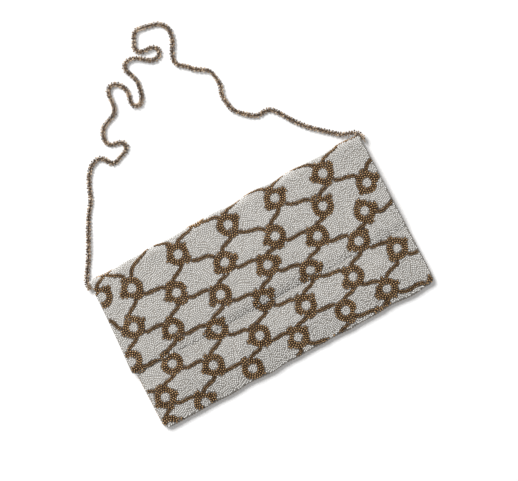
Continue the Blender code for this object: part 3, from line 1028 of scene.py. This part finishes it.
def cloth_sheet(name, cloth, carry, low, high):
    """A grid on the flat cloth, carried to the bag and given a wall."""
    bm = bmesh.new()
    across, up = round(BAG_WIDTH / CLOTH_CELL), round((high - low) / CLOTH_CELL)
    bmesh.ops.create_grid(bm, x_segments=across, y_segments=up, size=0.5)
    bmesh.ops.scale(bm, verts=bm.verts, vec=(BAG_WIDTH, high - low, 1))
    bmesh.ops.translate(bm, verts=bm.verts, vec=(0, (low + high) / 2, 0))
    shades = []
    for vertex in bm.verts:
        x, y = vertex.co.x, vertex.co.y
        shades.append(painted_gap_shade(cloth, x / MM, y / MM))
        vertex.co = carry(x, y, -CLOTH_SINK)
    bmesh.ops.recalc_face_normals(bm, faces=bm.faces)
    heart = carry(0, (low + high) / 2, 0)
    outwards = carry(0, (low + high) / 2, LOOK) - heart
    middle = min(bm.faces, key=lambda face: (face.calc_center_median() - heart).length)
    if middle.normal.dot(outwards) < 0:
        bmesh.ops.reverse_faces(bm, faces=bm.faces)
    mesh = bpy.data.meshes.new(name)
    bm.to_mesh(mesh)
    bm.free()
    mesh.shade_smooth()
    mask = mesh.attributes.new(GAP_SHADE_NEAR_BRONZE, "FLOAT", "POINT")
    mask.data.foreach_set("value", shades)
    for finish in (ground_cloth, satin, tan_edge):
        mesh.materials.append(finish.material)
    made = add_object(name, mesh)
    wall = made.modifiers.new("Wall", "SOLIDIFY")
    wall.thickness = CLOTH_WALL
    wall.offset = -1
    wall.material_offset = 1
    wall.material_offset_rim = 2
    print(f"{name}: {len(mesh.polygons)} faces")
    return made


strip_sheet = cloth_sheet("folded_cloth", strip_cloth, on_strip, FLAP_EDGE, BACK_FOOT)
front_sheet = cloth_sheet("front_cloth", front_cloth, on_front, FOOT, MOUTH)

# %% [markdown]
# ## Lining and press stud
#
# The lining and the two halves of the stud are the part's own pieces, and only need their
# finish.

# %% Finishes on the part's own pieces
snap_metal = Finish("nickel_snap", metallic=1.0, Base_Color=(0.62, 0.60, 0.57, 1))
snap_metal.set(Roughness=snap_metal.noise(400) * 0.25 + 0.2)
for name, finish in (("lining", satin), ("snap_stud", snap_metal), ("snap_socket", snap_metal)):
    for slot in nodes[name].material_slots:
        slot.material = finish.material
print("lining and press stud finished")

# %% [markdown]
# ## Hand stitches
#
# The side and foot seams are closed by hand with short slanted stitches over the two cloth
# edges. Each stitch is a short bent line with a round bevel. All of them are lines of one
# curve, which is then turned into one mesh, because hundreds of objects would be slow.

# %% Stitches
THREAD = 0.22 * MM  # the radius of a thread
STITCH_STEP = 2.4 * MM
STITCH_LOW, STITCH_HIGH = 1.9 * MM, 4.5 * MM
STITCH_SLANT = 1.3 * MM
STITCH_BULGE = 0.25 * MM
STITCH_SHARES = (0, 0.25, 0.5, 0.75, 1)
SEAM_OUT = 0.12 * MM
thread_finish = Finish("tan_thread", roughness=0.7)
thread_finish.mottle(600, (0.3, (0.30, 0.21, 0.13)), (0.7, (0.50, 0.39, 0.28)))


def thread_piece(name, runs, radius=THREAD, finish=thread_finish):
    """Short lengths of thread, as one mesh."""
    curve = bpy.data.curves.new(name, "CURVE")
    curve.dimensions = "3D"
    curve.bevel_depth = radius
    curve.bevel_resolution = 1
    curve.use_fill_caps = True
    for run in runs:
        line = curve.splines.new("POLY")
        line.points.add(len(run) - 1)
        for point, place in zip(line.points, run):
            point.co = (*place, 1)
    source = add_object(name, curve)
    graph = bpy.context.evaluated_depsgraph_get()
    mesh = bpy.data.meshes.new_from_object(source.evaluated_get(graph))
    bpy.data.objects.remove(source)
    mesh.materials.clear()
    mesh.materials.append(finish.material)
    print(f"{name}: {len(runs)} runs, {len(mesh.polygons)} faces")
    return add_object(name, mesh)


def seam_stitch(x, y, out):
    """One stitch over the edges of back and front, at a place on the seam."""
    base = on_front(x, y)
    way = Vector((*out, 0))
    side = Vector((-out[1], out[0], 0)) * STITCH_SLANT
    run = []
    for share in STITCH_SHARES:
        at = Vector((base.x, base.y, STITCH_LOW + (STITCH_HIGH - STITCH_LOW) * share))
        bulge = SEAM_OUT + STITCH_BULGE * math.sin(math.pi * share)
        run.append(at + way * bulge + side * (share - 0.5))
    return run


def along_seam(start, length):
    """Where the stitches stand on a straight seam."""
    count = round(length / STITCH_STEP)
    return [start + length * (k + 0.5) / count for k in range(count)]


stitches = []
for y in along_seam(FOOT + CORNER_RADIUS, MOUTH - FOOT - 2 * CORNER_RADIUS):
    stitches += [seam_stitch(side * HALF_WIDTH, y, (side, 0)) for side in (-1, 1)]
for x in along_seam(CORNER_RADIUS - HALF_WIDTH, BAG_WIDTH - 2 * CORNER_RADIUS):
    stitches.append(seam_stitch(x, FOOT, (0, -1)))
seam_thread = thread_piece("seam_stitches", stitches)

# %% [markdown]
# ## The strap's loops and its core
#
# A few loops of the same thread hold each end of the strap on the bag. Along the strap's
# middle runs a thin near-black cord, so that the white table doesn't shine through between the
# strings; its colour paints the shade between them. Both are made in the same way as the stitches.

# %% The strap's loops and its core
LOOP_COUNT = 4
LOOP_THREAD = THREAD * 1.2
LOOP_RADIUS = STRAP_DIAMETER / 2 + 0.25 * MM
LOOP_POINTS = 8
LOOP_OPEN, LOOP_ROUND = 0.25, 1.5  # half turns before the thread starts, and that it makes
LOOP_TAIL, TAIL_RISE = 1.6, 0.6  # the thread's ends go into the cloth, in millimetres
START_LOOPS, END_LOOPS = 1.2 * MM, 1.4 * MM  # from loop to loop
STRAP_CORE = 0.7 * MM
CORE_EVERY = 4  # the core bends at every fourth point of the strap's line


def strap_loop(at, inwards):
    """A loop of thread round the strap and into the cloth beside it."""
    middle = braid_frame(at)[0]
    run = []
    for k in range(LOOP_POINTS + 1):
        turn = math.pi * (LOOP_OPEN + LOOP_ROUND * k / LOOP_POINTS)
        across, high = math.cos(turn) * LOOP_RADIUS, math.sin(turn) * LOOP_RADIUS
        run.append(middle + inwards * across + UP * high)
    tail, rise = inwards * LOOP_TAIL * MM, UP * TAIL_RISE * MM
    return [run[0] + tail - rise, *run, run[-1] + tail + rise]


loops = [strap_loop(START_LOOPS * k, Vector((1, 0, 0))) for k in range(LOOP_COUNT)]
loops += [strap_loop(strap_length - END_LOOPS * k, Vector((0, -1, 0))) for k in range(LOOP_COUNT)]
strap_thread = thread_piece("strap_stitches", loops, LOOP_THREAD)

# The core is near black: besides being a thread, its colour paints the shade between the braid's
# strings.
core_thread_gap_shade = Finish("dark_core_thread_gap_shade", roughness=0.8)
core_thread_gap_shade.mottle(900, (0.3, (0.035, 0.02, 0.01)), (0.7, (0.09, 0.055, 0.03)))
strap_core = thread_piece("strap_core", [strap_line[::CORE_EVERY]], STRAP_CORE, core_thread_gap_shade)

# %% [markdown]
# ## The pieces on the part
#
# Every new piece rides on the part. The part's own plain solids for the two cloths and the
# strap are hidden, as the new pieces take their places.

# %% Pieces and the part
cloth_pieces = [strip_sheet, front_sheet, *bead_pieces, seam_thread]
for piece in cloth_pieces:
    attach(piece, "root")
for piece in (strap, strap_thread, strap_core):
    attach(piece, "root")
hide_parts("beaded_back_and_flap")
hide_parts("beaded_front")
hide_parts("strap")
BACK_FOOT - FLAP_EDGE
MOUTH - FOOT
print("pieces ride on the part")

# %% [markdown]
# ## The table
#
# The bag lies on a white table. The table adds a little light of its own where it is seen
# straight, mirrored or through glass. So it reads as white without more light on the bag.

# %% Table
TABLE_SIZE = 4.0
TABLE_GREY = 0.86
TABLE_GLOW = 0.08
SEEN_BY = ("Is Camera Ray", "Is Glossy Ray", "Is Transmission Ray")
bm = bmesh.new()
bmesh.ops.create_grid(bm, x_segments=1, y_segments=1, size=TABLE_SIZE / 2)
table_mesh = bpy.data.meshes.new("table")
bm.to_mesh(table_mesh)
bm.free()
table = add_object("table", table_mesh)
table_finish = Finish("white_table", roughness=0.9, Base_Color=(*[TABLE_GREY] * 3, 1))
light_path = table_finish.node("ShaderNodeLightPath")
rays = [Number(table_finish, light_path.outputs[name]) for name in SEEN_BY]
seen = rays[0].math("MAXIMUM", rays[1]).math("MAXIMUM", rays[2])
emission = {"Color": (1, 1, 1, 1), "Strength": seen * TABLE_GLOW}
glow = table_finish.node("ShaderNodeEmission", sockets=emission)
shaders = {0: table_finish.shader.outputs[0], 1: glow.outputs[0]}
both = table_finish.node("ShaderNodeAddShader", sockets=shaders)
surface = table_finish.tree.nodes["Material Output"].inputs["Surface"]
table_finish.feed(surface, both.outputs[0])
table_mesh.materials.append(table_finish.material)
print(f"table {TABLE_SIZE:.0f} m wide")

# %% [markdown]
# ## Lamp and background
#
# One large lamp at the upper left gives the soft shadow towards the lower right, and an
# even white world fills the rest. A smaller lamp would make the shadow's edge too hard.

# %% Lamp and world
KEY_FROM = Vector((-0.28, 0.96, 1.15))
KEY_DISTANCE = 3.0
KEY_POWER = 100
KEY_SIZE = 1.2
WORLD_STRENGTH = 0.40
key_light = bpy.data.lights.new("key_light", "AREA")
key_light.size = KEY_SIZE
key_light.energy = KEY_POWER
key_lamp = add_object("key_light", key_light)
key_lamp.location = KEY_FROM.normalized() * KEY_DISTANCE
key_lamp.rotation_euler = KEY_FROM.to_track_quat("Z", "Y").to_euler()

world = bpy.data.worlds.new("studio")
world.use_nodes = True
background = world.node_tree.nodes["Background"]
background.inputs["Color"].default_value = (1, 1, 1, 1)
background.inputs["Strength"].default_value = WORLD_STRENGTH
scene.world = world
scene.view_settings.view_transform = "Standard"
print("lit")
